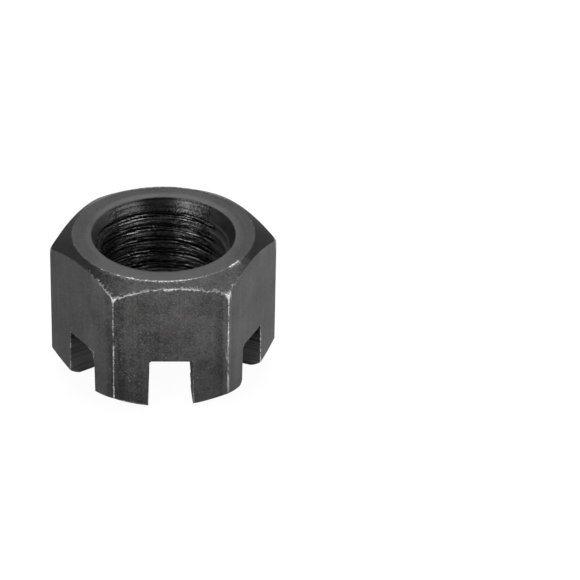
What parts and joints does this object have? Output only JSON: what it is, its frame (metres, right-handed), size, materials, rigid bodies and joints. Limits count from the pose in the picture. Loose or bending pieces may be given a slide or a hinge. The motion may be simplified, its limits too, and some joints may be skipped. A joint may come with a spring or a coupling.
{
  "type": "castle nut",
  "caption": "Slotted hexagon nut: a threaded bore through a hexagon body, and a castle end whose slots take a cotter pin.",
  "frame": {"origin": "on the thread's axis, in the plane of the castle tips that the nut stands on", "axes": "+Z along the axis, from the castle end to the bearing face; the flat that faces -Y has the deeper slot in it; corners lie on +X and -X"},
  "size_m": [0.0196, 0.017, 0.0127],
  "materials": {
    "blackened_steel": "black oxide, satin, worn bright along the edges"
  },
  "bodies": {
    "root": {"castle_nut": "blackened_steel"}
  },
  "joints": []
}
